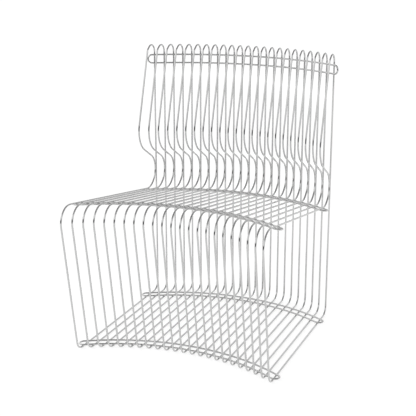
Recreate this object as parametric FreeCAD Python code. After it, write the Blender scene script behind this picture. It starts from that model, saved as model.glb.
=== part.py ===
"""Wire lounge chair: closed wire loops in parallel planes, tied by five racetrack rings of the same wire.

Frame: +Z up, +Y to the back of the chair, +X to the right of someone who faces the chair from the front.
The origin is on the floor, at the centre of the overall width and depth. All lengths are in millimetres.

Every loop lies in a vertical plane of its own. In that plane, "forward" is the distance in front of the
loop's own rear leg and "height" is the distance above the floor, both measured to the centreline of the
wire. The loops are all alike: their rear legs stand on an arc, which makes the seat and the back concave.
"""

import FreeCAD, Part
import math
import os

# Wire, and the row of loops
wire_diameter = 5.0
loop_count = 23
row_width = 543.0
row_radius = 522.0

# Outline of a loop
overall_height = 765.0
base_length = 504.5
seat_height_at_rear_leg = 331.5
seat_slope = 9.0
front_leg_lean = 9.5
crown_slope = 35.0
back_forward_at_top = 41.8
back_rake = 16.8
lumbar_slope = 30.3
recess_clearance = 1.3

# Bend radii of a loop
top_bend_radius = 22.0
shoulder_bend_radius = 10.0
lumbar_bend_radius = 68.0
recess_bend_radius = 50.5
front_bend_radius = 42.5
foot_bend_radius = 27.0
heel_bend_radius = 27.0

# Racetrack rings, each placed from the nearest bends or from the rear legs
ring_width = 24.0
flat_ring_overrun = 2.5
top_ring_overrun = 7.5
top_ring_below_bends = 8.5
seat_rear_ring_forward = 58.0
seat_front_ring_behind_bends = 36.0
base_rear_ring_from_bends = 37.0
base_front_ring_from_bends = 3.4

# How far two wires sink into each other where they are resistance welded
weld_set_down = 0.4

wire_radius = wire_diameter / 2
welded_spacing = wire_diameter - weld_set_down
floor_height = wire_radius
apex_height = overall_height - wire_radius
loop_pitch = row_width / (loop_count - 1)


def at(forward, height):
    """A point in the plane of a loop whose rear leg stands at the origin."""
    return FreeCAD.Vector(0, -forward, height)


def heading(degrees):
    """The direction in the plane of a loop at an angle above straight forward."""
    angle = math.radians(degrees)
    return at(math.cos(angle), math.sin(angle))


def crossing(line_a, line_b):
    """Where two straight runs of a loop meet. A run is a point on it and its direction."""
    point_a, way_a = line_a
    point_b, way_b = line_b
    across_b = FreeCAD.Vector(0, way_b.z, -way_b.y)
    return point_a + way_a * ((point_b - point_a).dot(across_b) / way_a.dot(across_b))


# The top bend touches the apex height and the rear leg, and runs out into the sloping crown
top_centre = at(top_bend_radius, apex_height - top_bend_radius)

# The recess bend is tangent to the seat wire and passes the rear leg with a small clearance
recess_forward = wire_diameter + recess_clearance + recess_bend_radius
recess_height = (
    seat_height_at_rear_leg
    + recess_forward * math.tan(math.radians(seat_slope))
    + recess_bend_radius / math.cos(math.radians(seat_slope))
)
recess_centre = at(recess_forward, recess_height)

# Straight runs of a loop
base_wire = (at(0, floor_height), heading(0))
rear_leg = (at(0, floor_height), heading(90))
crown = (top_centre + heading(90 - crown_slope) * top_bend_radius, heading(-crown_slope))
back_wire = (at(back_forward_at_top, apex_height), heading(90 + back_rake))
lumbar_wire = (recess_centre + heading(90 + lumbar_slope) * recess_bend_radius, heading(lumbar_slope))
seat_wire = (at(0, seat_height_at_rear_leg), heading(seat_slope))
front_leg = (at(base_length, floor_height), heading(90 - front_leg_lean))


def bend(corner, before, after, radius):
    """The tangent arc that rounds a corner: its start, middle and end points."""
    to_before = (before - corner).normalize()
    to_after = (after - corner).normalize()
    inward = (to_before + to_after).normalize()
    half_angle = to_before.getAngle(to_after) / 2
    tangent_length = radius / math.tan(half_angle)
    centre = corner + inward * (radius / math.sin(half_angle))
    return corner + to_before * tangent_length, centre - inward * radius, corner + to_after * tangent_length


def rounded_corners(corners):
    """The bends of a closed outline, from its (corner point, bend radius) pairs in order."""
    points = [point for point, radius in corners]
    bends = []
    for number, (point, radius) in enumerate(corners):
        after = points[(number + 1) % len(points)]
        bends.append(bend(point, points[number - 1], after, radius))
    return bends


# The bends in order from the heel, up the rear leg and round. Each is (start, middle, end).
loop_bends = rounded_corners(
    [
        (crossing(base_wire, rear_leg), heel_bend_radius),
        (crossing(rear_leg, crown), top_bend_radius),
        (crossing(crown, back_wire), shoulder_bend_radius),
        (crossing(back_wire, lumbar_wire), lumbar_bend_radius),
        (crossing(lumbar_wire, seat_wire), recess_bend_radius),
        (crossing(seat_wire, front_leg), front_bend_radius),
        (crossing(front_leg, base_wire), foot_bend_radius),
    ]
)
heel_bend, top_bend, _, _, _, front_bend, foot_bend = loop_bends


def loop_path():
    """The closed centreline of a loop. Its two ends meet in the middle of the rear leg."""
    seam = (heel_bend[2] + top_bend[0]) * 0.5
    edges = []
    place = seam
    for start, middle, end in loop_bends[1:] + loop_bends[:1]:
        edges.append(Part.LineSegment(place, start).toShape())
        edges.append(Part.Arc(start, middle, end).toShape())
        place = end
    edges.append(Part.LineSegment(place, seam).toShape())
    return edges


def row_setback(x):
    """How far in front of the middle loop the arc of the row puts a loop at x."""
    return row_radius - math.sqrt(row_radius**2 - x**2)


# The front bends of the end loops and the rear leg of the middle one give the overall depth
loop_reach = -Part.Wire(loop_path()).BoundBox.YMin
overall_depth = loop_reach + row_setback(row_width / 2) + wire_diameter
middle_leg_y = overall_depth / 2 - wire_radius


def wire_along(edges):
    """A solid round wire along a closed path of tangent edges."""
    start = edges[0].valueAt(edges[0].FirstParameter)
    direction = edges[0].tangentAt(edges[0].FirstParameter)
    section = Part.Wire([Part.makeCircle(wire_radius, start, direction)])
    skin = Part.Wire(edges).makePipeShell([section], False, False)
    solid = Part.Solid(Part.Shell(skin.Faces))
    if solid.Volume < 0:
        solid.reverse()
    return solid


def racetrack(centre_y, overrun, side_a, side_b):
    """A closed path of two arcs along the row, joined by half turns. A side is its (radius, height)."""
    sweep = math.asin(row_width / 2 / row_radius) + overrun / row_radius
    rightward = FreeCAD.Vector(math.cos(sweep), -math.sin(sweep), 0)
    leftward = FreeCAD.Vector(-math.cos(sweep), -math.sin(sweep), 0)

    def on_side(side, angle):
        radius, height = side
        return FreeCAD.Vector(radius * math.sin(angle), centre_y + radius * math.cos(angle), height)

    def half_turn(start, end, outward):
        tip = (start + end) * 0.5 + outward * ((end - start).Length / 2)
        return Part.Arc(start, tip, end).toShape()

    a_left, a_middle, a_right = (on_side(side_a, angle) for angle in (-sweep, 0, sweep))
    b_left, b_middle, b_right = (on_side(side_b, angle) for angle in (-sweep, 0, sweep))
    return [
        Part.Arc(a_left, a_middle, a_right).toShape(),
        half_turn(a_right, b_right, rightward),
        Part.Arc(b_right, b_middle, b_left).toShape(),
        half_turn(b_left, a_left, leftward),
    ]


def under_seat(forward):
    """Height of a ring's side welded under the seat wires, on the straight run or on the recess bend."""
    slope = math.radians(seat_slope)
    reach = recess_bend_radius + welded_spacing
    if forward >= recess_forward + reach * math.sin(slope):
        return seat_height_at_rear_leg + forward * math.tan(slope) - welded_spacing / math.cos(slope)
    return recess_height - math.sqrt(reach**2 - (forward - recess_forward) ** 2)


def on_base(forward):
    """Height of a ring's side welded on top of the base wires."""
    return floor_height + welded_spacing


def flat_ring(rear_side, height_at):
    """A ring lying across the loops. Its rear side is rear_side in front of the rear legs."""
    front_side = rear_side + ring_width
    centre_y = middle_leg_y - row_radius - (rear_side + front_side) / 2
    rear = (row_radius + ring_width / 2, height_at(rear_side))
    front = (row_radius - ring_width / 2, height_at(front_side))
    return wire_along(racetrack(centre_y, flat_ring_overrun, rear, front))


def top_ring():
    """The ring that stands on edge against the front of the rear legs, just below the top bends."""
    radius = row_radius - welded_spacing
    upper_height = top_bend[0].z - top_ring_below_bends
    upper = (radius, upper_height)
    lower = (radius, upper_height - ring_width)
    return wire_along(racetrack(middle_leg_y - row_radius, top_ring_overrun, upper, lower))


# Where the straight runs of the seat and base wires end
heel_forward = -heel_bend[0].y
front_forward = -front_bend[0].y
foot_forward = -foot_bend[2].y

nodes = {}
loop = wire_along(loop_path())
for number in range(1, loop_count + 1):
    loop_x = (number - (loop_count + 1) / 2) * loop_pitch
    place = FreeCAD.Vector(loop_x, middle_leg_y - row_setback(loop_x), 0)
    nodes["wire_loop_%02d" % number] = loop.translated(place)
nodes["back_top_ring"] = top_ring()
nodes["seat_rear_ring"] = flat_ring(seat_rear_ring_forward, under_seat)
nodes["seat_front_ring"] = flat_ring(front_forward - seat_front_ring_behind_bends - ring_width, under_seat)
nodes["base_rear_ring"] = flat_ring(heel_forward + base_rear_ring_from_bends, on_base)
nodes["base_front_ring"] = flat_ring(foot_forward - base_front_ring_from_bends - ring_width, on_base)

os.makedirs("parts", exist_ok=True)
for name, shape in nodes.items():
    shape.exportStep("parts/%s.step" % name)
    print(name, "valid", shape.isValid(), "volume", round(shape.Volume, 1))
print("loop reach", round(loop_reach, 2), "overall depth", round(overall_depth, 2))
print("straight runs end at: heel", round(heel_forward, 2), "foot", round(foot_forward, 2))
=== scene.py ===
# %% [markdown]
# # A wire chair in bright chrome
#
# The real chair is made of nothing but round steel wire. Closed loops of wire stand side by side on an arc,
# and five narrow rings of the same wire are welded across them. After welding, the whole frame is plated
# with chrome.
#
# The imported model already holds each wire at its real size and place. This script loads it, sweeps every
# wire again as a smooth tube with a UV map, adds the weld nuggets, plates everything and lights it in a
# white studio.

# %% Load the frame
import math

import bpy
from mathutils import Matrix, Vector


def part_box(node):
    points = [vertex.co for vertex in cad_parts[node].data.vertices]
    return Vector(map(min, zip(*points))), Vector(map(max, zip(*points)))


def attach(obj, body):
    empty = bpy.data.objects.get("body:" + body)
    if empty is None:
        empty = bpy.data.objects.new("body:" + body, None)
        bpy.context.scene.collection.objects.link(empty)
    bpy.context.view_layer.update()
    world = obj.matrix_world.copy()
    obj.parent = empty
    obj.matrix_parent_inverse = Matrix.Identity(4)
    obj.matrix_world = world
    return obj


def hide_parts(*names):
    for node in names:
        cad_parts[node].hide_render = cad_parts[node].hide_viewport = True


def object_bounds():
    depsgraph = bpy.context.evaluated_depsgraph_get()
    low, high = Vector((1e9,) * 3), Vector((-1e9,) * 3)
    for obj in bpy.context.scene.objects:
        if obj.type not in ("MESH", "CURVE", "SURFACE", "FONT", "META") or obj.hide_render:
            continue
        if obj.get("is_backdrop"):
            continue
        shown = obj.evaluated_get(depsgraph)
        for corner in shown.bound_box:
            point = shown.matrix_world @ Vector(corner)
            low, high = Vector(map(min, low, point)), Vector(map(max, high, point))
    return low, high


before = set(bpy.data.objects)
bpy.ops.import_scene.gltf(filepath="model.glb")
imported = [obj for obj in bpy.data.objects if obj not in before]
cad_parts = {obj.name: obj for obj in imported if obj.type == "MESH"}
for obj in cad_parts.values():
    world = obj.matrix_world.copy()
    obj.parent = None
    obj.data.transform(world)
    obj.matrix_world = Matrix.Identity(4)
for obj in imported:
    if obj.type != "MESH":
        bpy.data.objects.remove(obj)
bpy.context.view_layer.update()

MM = 0.001

# %% [markdown]
# ## The camera
#
# The photograph was taken from the front, to the right of the middle and above the top of the back, with a
# long lens. A long lens keeps the wires nearly parallel. The numbers come from fitting a camera to the lines
# of the legs and the base.

# %% Camera
CAMERA_PLACE = Vector((0.9999, -2.4235, 1.1329))
CAMERA_PITCH = math.radians(73.575)
CAMERA_TURN = math.radians(22.435)
LENS = 86.94

camera = bpy.data.objects.new("camera", bpy.data.cameras.new("camera"))
camera.data.lens = LENS
camera.location = CAMERA_PLACE
camera.rotation_euler = (CAMERA_PITCH, 0.0, CAMERA_TURN)
bpy.context.scene.collection.objects.link(camera)
bpy.context.scene.camera = camera
bpy.context.scene.view_settings.view_transform = "Standard"
print("camera", round(CAMERA_PLACE.length, 2), "m from the foot of the chair, lens", LENS, "mm")

# %% [markdown]
# ## Small helpers
#
# Nodes are quicker to read when one call makes a node, sets it and joins it up. Colours are written as the
# hex codes that a paint chart gives, and one function turns them into the linear values that shaders need.


# %% Helpers
def find(sockets, name):
    """The socket in use that has this name or identifier, or this number in the row."""
    if isinstance(name, int):
        return sockets[name]
    return next(s for s in sockets if s.enabled and name in (s.name, s.identifier))


def add(tree, kind, inputs=None, **settings):
    """A new node of a tree. Each of inputs is a value, an output socket to link, or a node to link."""
    node = tree.nodes.new(kind)
    for name, value in settings.items():
        setattr(node, name, value)
    for name, value in (inputs or {}).items():
        if isinstance(value, bpy.types.Node):
            value = next(s for s in value.outputs if s.enabled)
        if isinstance(value, bpy.types.NodeSocket):
            tree.links.new(value, find(node.inputs, name))
        else:
            find(node.inputs, name).default_value = value
    return node


def linear(hex_colour):
    """An sRGB hex colour as linear RGBA."""
    channels = [int(hex_colour[i : i + 2], 16) / 255 for i in (1, 3, 5)]
    return [c / 12.92 if c <= 0.04045 else ((c + 0.055) / 1.055) ** 2.4 for c in channels] + [1.0]


# %% [markdown]
# ## Chrome plate on drawn wire
#
# The wire is pulled through a die, which leaves fine lines along it. Polishing and a thin layer of nickel
# and chromium cover them, so what is left is a mirror with a faint grain along the wire, a slight orange
# peel, and duller patches where hands have rubbed it. Where the wire's two ends were butt welded, a narrow
# band was ground flush and is duller, and so are the scuffed undersides on the floor.
#
# Metallic 1 makes the mirror. The lines and the ground band follow the UV map, which is in metres around and
# along the wire from the butt weld. The rest reads the object's own coordinates. Real drawing lines are a
# few hundredths of a millimetre wide and would not show, so they are drawn about ten times coarser.

# %% Chrome material
CHROME = linear("#D0D0D0")
CHROME_SHADE = linear("#C9C9C9")
POLISHED = 0.03
RUBBED = 0.09
DRAWING_LINE = 0.35 * MM
DRAWING_LINE_LENGTH = 45 * MM
DRAWING_DEPTH = 0.003 * MM
DRAWING_DETAIL = 2.0
ORANGE_PEEL = 2.0 * MM
ORANGE_PEEL_DEPTH = 0.005 * MM
ORANGE_PEEL_DETAIL = 1.0
HANDLING_PATCH = 60 * MM
PATCH_DETAIL = 4.0
PATCH_START = 0.35
PATCH_FULL = 0.7
GROUND_BAND = 4.0 * MM
GROUND = 0.2
SCUFF_HEIGHT = 1.6 * MM
SCUFFED = 0.3


def chrome_plated_wire():
    """Bright chrome: a near-white mirror with drawn lines, orange peel and an uneven polish."""
    material = bpy.data.materials.new("chrome_plated_drawn_steel")
    material.use_nodes = True
    tree = material.node_tree
    place = add(tree, "ShaderNodeTexCoord")
    on_object = find(place.outputs, "Object")

    stretched = add(
        tree,
        "ShaderNodeMapping",
        {"Vector": find(place.outputs, "UV"), "Scale": (1 / DRAWING_LINE, 1 / DRAWING_LINE_LENGTH, 1.0)},
    )
    lines = add(tree, "ShaderNodeTexNoise", {"Vector": stretched, "Scale": 1.0, "Detail": DRAWING_DETAIL})
    peel = add(
        tree,
        "ShaderNodeTexNoise",
        {"Vector": on_object, "Scale": 1 / ORANGE_PEEL, "Detail": ORANGE_PEEL_DETAIL},
    )
    patches = add(
        tree,
        "ShaderNodeTexNoise",
        {"Vector": on_object, "Scale": 1 / HANDLING_PATCH, "Detail": PATCH_DETAIL},
    )

    tint = add(
        tree, "ShaderNodeMix", {"Factor": patches, "A": CHROME, "B": CHROME_SHADE}, data_type="RGBA"
    )
    polish = add(
        tree,
        "ShaderNodeMapRange",
        {
            "Value": patches,
            "From Min": PATCH_START,
            "From Max": PATCH_FULL,
            "To Min": POLISHED,
            "To Max": RUBBED,
        },
    )
    run = find(add(tree, "ShaderNodeSeparateXYZ", {"Vector": find(place.outputs, "UV")}).outputs, "Y")
    ground = add(
        tree,
        "ShaderNodeMapRange",
        {
            "Value": run,
            "From Min": GROUND_BAND,
            "From Max": GROUND_BAND / 2,
            "To Min": 0.0,
            "To Max": GROUND,
        },
    )
    height = find(add(tree, "ShaderNodeSeparateXYZ", {"Vector": on_object}).outputs, "Z")
    scuffs = add(
        tree,
        "ShaderNodeMapRange",
        {"Value": height, "From Min": SCUFF_HEIGHT, "From Max": 0.0, "To Min": 0.0, "To Max": SCUFFED},
    )
    worn = add(tree, "ShaderNodeMath", {0: ground, 1: scuffs}, operation="MAXIMUM")
    roughness = add(tree, "ShaderNodeMath", {0: polish, 1: worn}, operation="MAXIMUM")
    grain = add(tree, "ShaderNodeBump", {"Height": lines, "Strength": 1.0, "Distance": DRAWING_DEPTH})
    surface = add(
        tree,
        "ShaderNodeBump",
        {"Height": peel, "Strength": 1.0, "Distance": ORANGE_PEEL_DEPTH, "Normal": grain},
    )

    shader = tree.nodes["Principled BSDF"]
    shader.inputs["Metallic"].default_value = 1.0
    tree.links.new(find(tint.outputs, "Result"), shader.inputs["Base Color"])
    tree.links.new(roughness.outputs[0], shader.inputs["Roughness"])
    tree.links.new(find(surface.outputs, "Normal"), shader.inputs["Normal"])
    return material


chrome = chrome_plated_wire()
print("material", chrome.name)

# %% [markdown]
# ## The outline of one loop
#
# In its own plane a loop is seven straight runs with a bend at each corner. A wire bender thinks of it the
# same way: where the straight runs would meet, and the radius to bend each corner to. So the loop is drawn
# as a polygon of corners here, and the bends come later, from the nodes. "Forward" is the distance in front
# of the loop's own rear leg and "height" the distance above the floor, both to the middle of the wire.

# %% Loop outline
WIRE_RADIUS = 2.5 * MM
OVERALL_HEIGHT = 765.0 * MM
BASE_LENGTH = 504.5 * MM
SEAT_HEIGHT_AT_REAR_LEG = 331.5 * MM
SEAT_SLOPE = 9.0
FRONT_LEG_LEAN = 9.5
CROWN_SLOPE = 35.0
BACK_FORWARD_AT_TOP = 41.8 * MM
BACK_RAKE = 16.8
LUMBAR_SLOPE = 30.3
RECESS_CLEARANCE = 1.3 * MM
TOP_BEND = 22.0 * MM
SHOULDER_BEND = 10.0 * MM
LUMBAR_BEND = 68.0 * MM
RECESS_BEND = 50.5 * MM
FRONT_BEND = 42.5 * MM
FOOT_BEND = 27.0 * MM
HEEL_BEND = 27.0 * MM


def at(forward, height):
    """A point in the plane of a loop whose rear leg stands at the origin."""
    return Vector((0.0, -forward, height))


def heading(degrees):
    """The direction in the plane of a loop at an angle above straight forward."""
    return at(math.cos(math.radians(degrees)), math.sin(math.radians(degrees)))


def crossing(run_a, run_b):
    """Where two straight runs would meet. A run is a point on it and its direction."""
    point_a, way_a = run_a
    point_b, way_b = run_b
    across_b = Vector((0.0, way_b.z, -way_b.y))
    return point_a + way_a * ((point_b - point_a).dot(across_b) / way_a.dot(across_b))


def loop_corners():
    """(corner, bend radius) from the middle of the rear leg, where the wire's two ends are butt welded."""
    recess_forward = 2 * WIRE_RADIUS + RECESS_CLEARANCE + RECESS_BEND
    slope = math.radians(SEAT_SLOPE)
    seat_below = SEAT_HEIGHT_AT_REAR_LEG + recess_forward * math.tan(slope)
    recess_centre = at(recess_forward, seat_below + RECESS_BEND / math.cos(slope))
    apex_height = OVERALL_HEIGHT - WIRE_RADIUS
    top_centre = at(TOP_BEND, apex_height - TOP_BEND)
    base = at(0, WIRE_RADIUS), heading(0)
    rear_leg = at(0, WIRE_RADIUS), heading(90)
    crown = top_centre + heading(90 - CROWN_SLOPE) * TOP_BEND, heading(-CROWN_SLOPE)
    back = at(BACK_FORWARD_AT_TOP, apex_height), heading(90 + BACK_RAKE)
    lumbar = recess_centre + heading(90 + LUMBAR_SLOPE) * RECESS_BEND, heading(LUMBAR_SLOPE)
    seat = at(0, SEAT_HEIGHT_AT_REAR_LEG), heading(SEAT_SLOPE)
    front_leg = at(BASE_LENGTH, WIRE_RADIUS), heading(90 - FRONT_LEG_LEAN)
    butt_weld = at(0, OVERALL_HEIGHT / 2), 0.0
    return [
        butt_weld,
        (crossing(rear_leg, crown), TOP_BEND),
        (crossing(crown, back), SHOULDER_BEND),
        (crossing(back, lumbar), LUMBAR_BEND),
        (crossing(lumbar, seat), RECESS_BEND),
        (crossing(seat, front_leg), FRONT_BEND),
        (crossing(front_leg, base), FOOT_BEND),
        (crossing(base, rear_leg), HEEL_BEND),
        butt_weld,
    ]


corners = loop_corners()
print("corners (forward, height, radius) mm:")
for corner, bend_radius in corners:
    print("   ", round(-corner.y / MM, 1), round(corner.z / MM, 1), round(bend_radius / MM, 1))

# %% [markdown]
# ## A tree that bends and sweeps wire
#
# Every wire of the chair is the same round section swept along a path, so one Geometry Nodes tree makes them
# all. It reads the path's corners, rounds each with Fillet Curve to the radius stored on it, and sweeps a
# circle along the result with Curve to Mesh. The UV map is stored before the tube is closed, while the skin
# still has two free edges, like a sheet of paper that is rolled up. That keeps the map from folding back at
# the seam. The seam gap is wide enough to also join the wire's two ends, where a ring's path turns slightly.

# %% Wire tree
SIDES = 24
SEAM_GAP = 0.05 * MM
BEND_STEP = math.radians(4.0)


def new_tree(name, inputs):
    """A Geometry Nodes tree with geometry in and out and the named inputs, and its input node's sockets."""
    tree = bpy.data.node_groups.new(name, "GeometryNodeTree")
    tree.interface.new_socket("Geometry", in_out="INPUT", socket_type="NodeSocketGeometry")
    for label, kind in inputs.items():
        tree.interface.new_socket(label, in_out="INPUT", socket_type="NodeSocket" + kind)
    tree.interface.new_socket("Geometry", in_out="OUTPUT", socket_type="NodeSocketGeometry")
    return tree, add(tree, "NodeGroupInput").outputs


def wire_tree():
    """A path of corners in, a plated wire out."""
    tree, given = new_tree(
        "bent wire", {"Wire Radius": "Float", "Round Corners": "Bool", "Material": "Material"}
    )
    radius = find(given, "Wire Radius")
    path = add(tree, "GeometryNodeMeshToCurve", {"Mesh": find(given, "Geometry")})
    bend_radius = add(tree, "GeometryNodeInputNamedAttribute", {"Name": "bend_radius"}, data_type="FLOAT")
    bend_steps = add(tree, "GeometryNodeInputNamedAttribute", {"Name": "bend_steps"}, data_type="INT")
    bent = add(
        tree,
        "GeometryNodeFilletCurve",
        {"Curve": path, "Radius": bend_radius, "Count": bend_steps},
        mode="POLY",
    )
    chosen = add(
        tree, "GeometryNodeSwitch", {"Switch": find(given, "Round Corners"), "False": path, "True": bent}
    )
    section = add(
        tree,
        "GeometryNodeCurveArc",
        {"Resolution": SIDES + 1, "Radius": radius, "Sweep Angle": math.tau},
        mode="RADIUS",
    )
    measured = []
    for curve in (chosen, section):
        capture = add(tree, "GeometryNodeCaptureAttribute", {"Geometry": curve})
        capture.capture_items.new("FLOAT", "Length")
        length = find(add(tree, "GeometryNodeSplineParameter").outputs, "Length")
        tree.links.new(length, capture.inputs["Length"])
        measured.append(capture.outputs)
    along, around = measured
    skin = add(
        tree, "GeometryNodeCurveToMesh", {"Curve": along["Geometry"], "Profile Curve": around["Geometry"]}
    )
    unrolled = add(tree, "ShaderNodeCombineXYZ", {"X": around["Length"], "Y": along["Length"]})
    mapped = add(
        tree,
        "GeometryNodeStoreNamedAttribute",
        {"Geometry": skin, "Name": "UVMap", "Value": unrolled},
        data_type="FLOAT2",
        domain="CORNER",
    )
    closed = add(tree, "GeometryNodeMergeByDistance", {"Geometry": mapped, "Distance": SEAM_GAP})
    smooth = add(tree, "GeometryNodeSetShadeSmooth", {"Geometry": closed, "Shade Smooth": True})
    real = add(tree, "GeometryNodeRealizeInstances", {"Geometry": smooth})
    plated = add(
        tree, "GeometryNodeSetMaterial", {"Geometry": real, "Material": find(given, "Material")}
    )
    add(tree, "NodeGroupOutput", {"Geometry": plated})
    return tree


bent_wire = wire_tree()
print("tree", bent_wire.name, "with", len(bent_wire.nodes), "nodes")

# %% [markdown]
# ## From nodes to a plain mesh
#
# The nodes are a recipe. Each piece is wanted as a plain mesh, so the recipe is run once, its result
# becomes the object's own mesh, and the modifier goes. Inputs are set by the socket's identifier, which
# stays the same when a label changes.


# %% Run a tree
def run_tree(name, mesh, tree, settings):
    """A new object with the tree's result on this mesh as its own plain mesh."""
    piece = bpy.data.objects.new(name, mesh)
    bpy.context.scene.collection.objects.link(piece)
    modifier = piece.modifiers.new(tree.name, "NODES")
    modifier.node_group = tree
    for label, value in settings.items():
        modifier[tree.interface.items_tree[label].identifier] = value
    result = bpy.data.meshes.new_from_object(piece.evaluated_get(bpy.context.evaluated_depsgraph_get()))
    piece.modifiers.clear()
    piece.data = result
    result.name = name
    return piece


def path_mesh(name, points):
    """A chain of edges through (point, bend radius) pairs, with what Fillet Curve needs stored on it."""
    places = [place for place, bend_radius in points]
    mesh = bpy.data.meshes.new(name)
    mesh.from_pydata(places, [(n, n + 1) for n in range(len(places) - 1)], [])
    radii = mesh.attributes.new("bend_radius", "FLOAT", "POINT")
    steps = mesh.attributes.new("bend_steps", "INT", "POINT")
    for n, (place, bend_radius) in enumerate(points):
        radii.data[n].value = bend_radius
        steps.data[n].value = 1
        if bend_radius:
            turn = (place - places[n - 1]).angle(places[n + 1] - place)
            steps.data[n].value = math.ceil(turn / BEND_STEP)
    return mesh


# %% [markdown]
# ## The row of loops
#
# All loops are bent on one jig, so they share one outline. Only their places differ, and those are read
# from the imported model: the middle of a node's box gives the plane of the loop, and its rear face gives the
# rear leg.

# %% Loops
loop_nodes = sorted(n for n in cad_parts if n.startswith("wire_loop_"))
rear_legs = {}
loops = []
for node in loop_nodes:
    low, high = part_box(node)
    rear_legs[node] = Vector(((low.x + high.x) / 2, high.y - WIRE_RADIUS, 0.0))
    outline = [(rear_legs[node] + corner, bend_radius) for corner, bend_radius in corners]
    loop = run_tree(
        "plated_" + node,
        path_mesh("path_" + node, outline),
        bent_wire,
        {"Wire Radius": WIRE_RADIUS, "Round Corners": True, "Material": chrome},
    )
    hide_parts(node)
    loops.append(loop)
print(len(loops), "loops of", len(loops[0].data.polygons), "faces each")

# %% [markdown]
# ## The five rings
#
# A ring is a racetrack: two arcs that follow the row, joined by half turns. Four of them lie flat across
# the loops, and the top one stands on edge in front of the rear legs. Their heights and places come from the
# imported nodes, and the arcs from the row that the loops stand on.

# %% Rings
ROW_RADIUS = 522.0 * MM
ROW_WIDTH = 543.0 * MM
RING_WIDTH = 24.0 * MM
FLAT_RING_OVERRUN = 2.5 * MM
TOP_RING_OVERRUN = 7.5 * MM
WELDED_SPACING = 4.6 * MM
ARC_STEPS = 48
END_STEPS = 24


class Ring:
    """The two sides of a ring, each a (radius, height) about the axis of the row, and where that axis is."""

    def __init__(self, node):
        low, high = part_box(node)
        lower, upper = low.z + WIRE_RADIUS, high.z - WIRE_RADIUS
        if node == "back_top_ring":
            radius = ROW_RADIUS - WELDED_SPACING
            self.sides = (radius, upper), (radius, lower)
            overrun = TOP_RING_OVERRUN
        else:
            self.sides = (ROW_RADIUS + RING_WIDTH / 2, lower), (ROW_RADIUS - RING_WIDTH / 2, upper)
            overrun = FLAT_RING_OVERRUN
        self.axis_y = high.y - WIRE_RADIUS - self.sides[0][0]
        self.sweep = math.asin(ROW_WIDTH / 2 / ROW_RADIUS) + overrun / ROW_RADIUS

    def on_side(self, side, angle):
        """The point of a side at this angle from the middle of the row."""
        radius, height = side
        return Vector((radius * math.sin(angle), self.axis_y + radius * math.cos(angle), height))

    def arc(self, side, start, end):
        """Points along a side, without the last one."""
        return [self.on_side(side, start + (end - start) * n / ARC_STEPS) for n in range(ARC_STEPS)]

    def half_turn(self, start, end, outward):
        """Points round an end of the ring, without the last one."""
        centre = (start + end) / 2
        out = outward * ((end - start).length / 2)
        angles = [math.pi * n / END_STEPS for n in range(END_STEPS)]
        return [centre + (start - centre) * math.cos(a) + out * math.sin(a) for a in angles]

    def path(self):
        """Once round from the middle of the first side, with the last point on the first."""
        first, second = self.sides
        sweep = self.sweep
        right = Vector((math.cos(sweep), -math.sin(sweep), 0.0))
        left = Vector((-math.cos(sweep), -math.sin(sweep), 0.0))
        points = self.arc(first, 0.0, sweep)
        points += self.half_turn(self.on_side(first, sweep), self.on_side(second, sweep), right)
        points += self.arc(second, sweep, -sweep)
        points += self.half_turn(self.on_side(second, -sweep), self.on_side(first, -sweep), left)
        points += self.arc(first, -sweep, 0.0)
        return points + points[:1]


ring_nodes = sorted(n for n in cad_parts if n.endswith("_ring"))
rings = []
for node in ring_nodes:
    ring = run_tree(
        "plated_" + node,
        path_mesh("path_" + node, [(point, 0.0) for point in Ring(node).path()]),
        bent_wire,
        {"Wire Radius": WIRE_RADIUS, "Round Corners": False, "Material": chrome},
    )
    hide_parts(node)
    rings.append(ring)
print(len(rings), "rings of", len(rings[0].data.polygons), "faces each")

# %% [markdown]
# ## Weld nuggets
#
# Rings and loops are joined by resistance welding: the crossing is squeezed between electrodes while a
# current melts the contact, and the wires sink into each other by a few tenths of a millimetre. A small
# flattened nugget squeezes out all round. There are hundreds, so each has only a few dozen faces, and one
# tree sets an instance at every crossing, turned to face from the ring's wire to the loop's.

# %% Weld tree
NUGGET_SPREAD = 2.3 * MM
NUGGET_THICKNESS = 1.3 * MM
NUGGET_UNEVENNESS = 0.12
NUGGET_SEED = 7
NUGGET_SEGMENTS = 10
NUGGET_RINGS = 6


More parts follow.
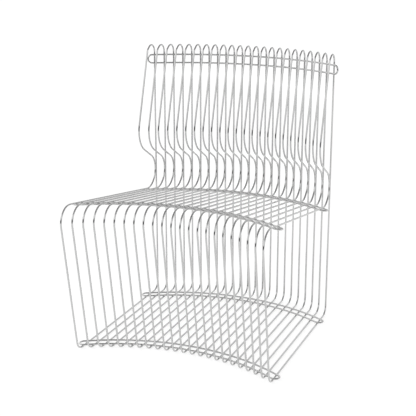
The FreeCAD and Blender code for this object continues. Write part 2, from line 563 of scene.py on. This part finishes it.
def weld_tree():
    """Points with an "across" direction in, a plated nugget at each out."""
    tree, given = new_tree(
        "weld nuggets",
        {"Spread": "Float", "Thickness": "Float", "Unevenness": "Float", "Material": "Material"},
    )
    spread, unevenness = find(given, "Spread"), find(given, "Unevenness")
    nugget = add(
        tree,
        "GeometryNodeMeshUVSphere",
        {"Segments": NUGGET_SEGMENTS, "Rings": NUGGET_RINGS, "Radius": 1.0},
    )
    across = add(tree, "GeometryNodeInputNamedAttribute", {"Name": "across"}, data_type="FLOAT_VECTOR")
    facing = add(tree, "FunctionNodeAlignRotationToVector", {"Vector": across}, axis="Z")
    flat = add(tree, "ShaderNodeCombineXYZ", {"X": spread, "Y": spread, "Z": find(given, "Thickness")})
    least = add(tree, "ShaderNodeMath", {0: 1.0, 1: unevenness}, operation="SUBTRACT")
    most = add(tree, "ShaderNodeMath", {0: 1.0, 1: unevenness}, operation="ADD")
    uneven = add(
        tree,
        "FunctionNodeRandomValue",
        {"Min": least, "Max": most, "Seed": NUGGET_SEED},
        data_type="FLOAT",
    )
    size = add(tree, "ShaderNodeVectorMath", {0: flat, "Scale": uneven}, operation="SCALE")
    set_out = add(
        tree,
        "GeometryNodeInstanceOnPoints",
        {"Points": find(given, "Geometry"), "Instance": nugget, "Rotation": facing, "Scale": size},
    )
    real = add(tree, "GeometryNodeRealizeInstances", {"Geometry": set_out})
    smooth = add(tree, "GeometryNodeSetShadeSmooth", {"Geometry": real, "Shade Smooth": True})
    plated = add(
        tree, "GeometryNodeSetMaterial", {"Geometry": smooth, "Material": find(given, "Material")}
    )
    add(tree, "NodeGroupOutput", {"Geometry": plated})
    return tree


weld_nuggets = weld_tree()
print("tree", weld_nuggets.name, "with", len(weld_nuggets.nodes), "nodes")

# %% [markdown]
# ## Where the wires cross
#
# Each side of a ring crosses every loop once. The crossing lies in the loop's plane, at the side's radius
# and height. From there the loop's wire is straight below (base rings), square to the sloping seat (seat
# rings) or straight behind (top ring).

# %% Welds
TOWARDS_LOOP = {"base": at(0, -1), "seat": heading(90 + SEAT_SLOPE), "back": at(-1, 0)}


def crossing_points(node):
    """A mesh with a point at each weld of a ring, and the direction from ring to loop stored on it."""
    ring = Ring(node)
    across = TOWARDS_LOOP[node.split("_")[0]]
    points = []
    for side in ring.sides:
        for leg in rear_legs.values():
            on_ring = ring.on_side(side, math.asin(leg.x / side[0]))
            points.append(on_ring + across * (WELDED_SPACING / 2))
    mesh = bpy.data.meshes.new("crossings_" + node)
    mesh.from_pydata(points, [], [])
    directions = mesh.attributes.new("across", "FLOAT_VECTOR", "POINT")
    for item in directions.data:
        item.vector = across
    return mesh


welds = []
for node in ring_nodes:
    weld = run_tree(
        node + "_welds",
        crossing_points(node),
        weld_nuggets,
        {
            "Spread": NUGGET_SPREAD,
            "Thickness": NUGGET_THICKNESS,
            "Unevenness": NUGGET_UNEVENNESS,
            "Material": chrome,
        },
    )
    welds.append(weld)
print(len(welds), "sets of welds, each with", len(welds[0].data.polygons), "faces")

# %% [markdown]
# ## The studio
#
# Chrome has no colour of its own to speak of: it shows the room. A product photographer puts it in a white
# room and lets a few dark things draw the edges. The floor is pale grey paper, which takes a soft shadow. A
# glow lifts it to white where the camera sees it, and a little less where the wire mirrors it, so no lamp
# has to burn it out. The paper ends just behind the camera, and there the upright wires mirror a dark strip.

# %% Floor
FLOOR_SIZE = 40.0
PAPER_EDGE = 3.3
AWAY = Vector((-math.sin(CAMERA_TURN), math.cos(CAMERA_TURN), 0.0))
LEFTWARD = Vector((-math.cos(CAMERA_TURN), -math.sin(CAMERA_TURN), 0.0))
PAPER = linear("#B4B4B4")
PAPER_LIFT = 0.78
PAPER_LIFT_IN_WIRE = 0.71


def studio_paper():
    """Pale grey paper that takes a soft shadow, lifted where the camera or the wire's mirror sees it."""
    material = bpy.data.materials.new("white_studio_paper")
    material.use_nodes = True
    tree = material.node_tree
    tree.nodes.clear()
    paper = add(tree, "ShaderNodeBsdfDiffuse", {"Color": PAPER})
    rays = add(tree, "ShaderNodeLightPath")
    seen, mirrored = find(rays.outputs, "Is Camera Ray"), find(rays.outputs, "Is Glossy Ray")
    mirror_lift = add(tree, "ShaderNodeMath", {0: mirrored, 1: PAPER_LIFT_IN_WIRE}, operation="MULTIPLY")
    lift = add(tree, "ShaderNodeMath", {0: seen, 1: PAPER_LIFT, 2: mirror_lift}, operation="MULTIPLY_ADD")
    glow = add(tree, "ShaderNodeEmission", {"Strength": lift})
    both = add(tree, "ShaderNodeAddShader", {0: paper, 1: glow})
    add(tree, "ShaderNodeOutputMaterial", {"Surface": both})
    return material


def staged(name, corners, material):
    """A flat piece of the studio that isn't part of the chair."""
    mesh = bpy.data.meshes.new(name)
    mesh.from_pydata(corners, [], [range(len(corners))])
    mesh.materials.append(material)
    piece = bpy.data.objects.new(name, mesh)
    bpy.context.scene.collection.objects.link(piece)
    piece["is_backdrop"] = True
    return piece


near, far, aside = AWAY * -PAPER_EDGE, AWAY * FLOOR_SIZE / 2, LEFTWARD * FLOOR_SIZE / 2
floor = staged("floor", [near + aside, near - aside, far - aside, far + aside], studio_paper())
print("floor", FLOOR_SIZE, "m wide")

# %% [markdown]
# ## A white card behind the chair
#
# The wires on the floor would mirror the dark studio above the paper. A low white card behind the chair
# fills that in for them, while the top bends look over it. Only mirror rays see it, so it hides nothing from
# any side.

# %% Card
CARD_PLACE = 1.2
CARD_HEIGHT = 0.72
CARD_WIDTH = 3.0
CARD_FOOT = 1.0 * MM
CARD_LEVEL = 0.9


def white_card():
    """A card that is evenly white, a little darker than the paper."""
    material = bpy.data.materials.new("white_card")
    material.use_nodes = True
    tree = material.node_tree
    tree.nodes.clear()
    glow = add(tree, "ShaderNodeEmission", {"Strength": CARD_LEVEL})
    add(tree, "ShaderNodeOutputMaterial", {"Surface": glow})
    return material


foot = [Vector((x, CARD_PLACE, CARD_FOOT)) for x in (CARD_WIDTH / 2, -CARD_WIDTH / 2)]
head = [place + Vector((0, 0, CARD_HEIGHT)) for place in reversed(foot)]
card = staged("card", foot + head, white_card())
card.visible_camera = False
card.visible_diffuse = False
card.visible_shadow = False
print("card", CARD_HEIGHT, "m high")

# %% [markdown]
# ## The room that the chrome reflects
#
# The world shader is the room, as a few areas with soft edges laid over each other. Each has its angles
# round the room, counted from the middle of the background and positive to the left, and its heights above
# the horizon, all in degrees. A high light stands on the left, a low one on the right and a white wall at
# the back. The ceiling is nearly dark. The camera's end of the room is darkest, so a bend that faces the
# viewer shows a dark spot.

# %% World
ROOM = 0.55
CEILING = {"level": 0.18, "round": (-200.0, 200.0), "height": (45.0, 135.0), "fade": 20.0}
HIGH_LEFT_LIGHT = {"level": 1.38, "round": (-13.0, 170.0), "height": (16.0, 49.0), "fade": 16.0}
LOW_RIGHT_LIGHT = {"level": 1.16, "round": (-172.0, -65.0), "height": (-20.0, 21.0), "fade": 18.0}
WHITE_WALL = {"level": 0.85, "round": (-67.0, 35.0), "height": (-20.0, 3.0), "fade": 6.0}
CAMERA_END = {"level": 0.04, "round": (125.0, 235.0), "height": (-60.0, 14.0), "fade": 6.0}
SIDE_FADE = 16.0
WHITE = linear("#FFFFFF")
HALF_TURN = 180.0


def within(tree, value, limits, fade):
    """1 between two limits, and smoothly down to 0 beyond them."""
    middle, half = (limits[0] + limits[1]) / 2, (limits[1] - limits[0]) / 2
    offset = add(tree, "ShaderNodeMath", {0: value, 1: middle}, operation="SUBTRACT")
    distance = add(tree, "ShaderNodeMath", {0: offset}, operation="ABSOLUTE")
    ends = {"Value": distance, "From Min": half + fade / 2, "From Max": half - fade / 2}
    return add(tree, "ShaderNodeMapRange", ends, interpolation_type="SMOOTHSTEP")


def with_area(tree, room, around, height, area):
    """The level of the room with one area of the wall laid over it."""
    start, end = area["round"]
    offset = add(tree, "ShaderNodeMath", {0: around, 1: (start + end) / 2}, operation="SUBTRACT")
    turned = add(tree, "ShaderNodeMath", {0: offset, 1: HALF_TURN, 2: -HALF_TURN}, operation="WRAP")
    across = within(tree, turned, ((start - end) / 2, (end - start) / 2), SIDE_FADE)
    upright = within(tree, height, area["height"], area["fade"])
    share = add(tree, "ShaderNodeMath", {0: across, 1: upright}, operation="MULTIPLY")
    return add(tree, "ShaderNodeMix", {"Factor": share, "A": room, "B": area["level"]}, data_type="FLOAT")


def studio_world():
    """White to the camera, and to all else a half-dark room with a long light on each side."""
    world = bpy.data.worlds.new("studio")
    world.use_nodes = True
    tree = world.node_tree
    tree.nodes.clear()
    ray = find(add(tree, "ShaderNodeTexCoord").outputs, "Generated")
    left = add(tree, "ShaderNodeVectorMath", {0: ray, 1: LEFTWARD}, operation="DOT_PRODUCT")
    away = add(tree, "ShaderNodeVectorMath", {0: ray, 1: AWAY}, operation="DOT_PRODUCT")
    turn = add(tree, "ShaderNodeMath", {0: left, 1: away}, operation="ARCTAN2")
    around = add(tree, "ShaderNodeMath", {0: turn}, operation="DEGREES")
    up = find(add(tree, "ShaderNodeSeparateXYZ", {"Vector": ray}).outputs, "Z")
    climb = add(tree, "ShaderNodeMath", {0: up}, operation="ARCSINE")
    height = add(tree, "ShaderNodeMath", {0: climb}, operation="DEGREES")
    room = ROOM
    for area in (CEILING, WHITE_WALL, HIGH_LEFT_LIGHT, LOW_RIGHT_LIGHT, CAMERA_END):
        room = with_area(tree, room, around, height, area)
    seen = find(add(tree, "ShaderNodeLightPath").outputs, "Is Camera Ray")
    level = add(tree, "ShaderNodeMix", {"Factor": seen, "A": room, "B": 1.0}, data_type="FLOAT")
    background = add(tree, "ShaderNodeBackground", {"Color": WHITE, "Strength": level})
    add(tree, "ShaderNodeOutputWorld", {"Surface": background})
    return world


bpy.context.scene.world = studio_world()
print("world", bpy.context.scene.world.name)

# %% [markdown]
# ## Onto the chair's body
#
# Every piece rides on the one rigid body of the chair. The box of the dressed model is
# printed.

# %% Finish
for piece in loops + rings + welds:
    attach(piece, "root")
low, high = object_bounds()
print("dressed box", [round(v, 4) for v in high - low], "m")
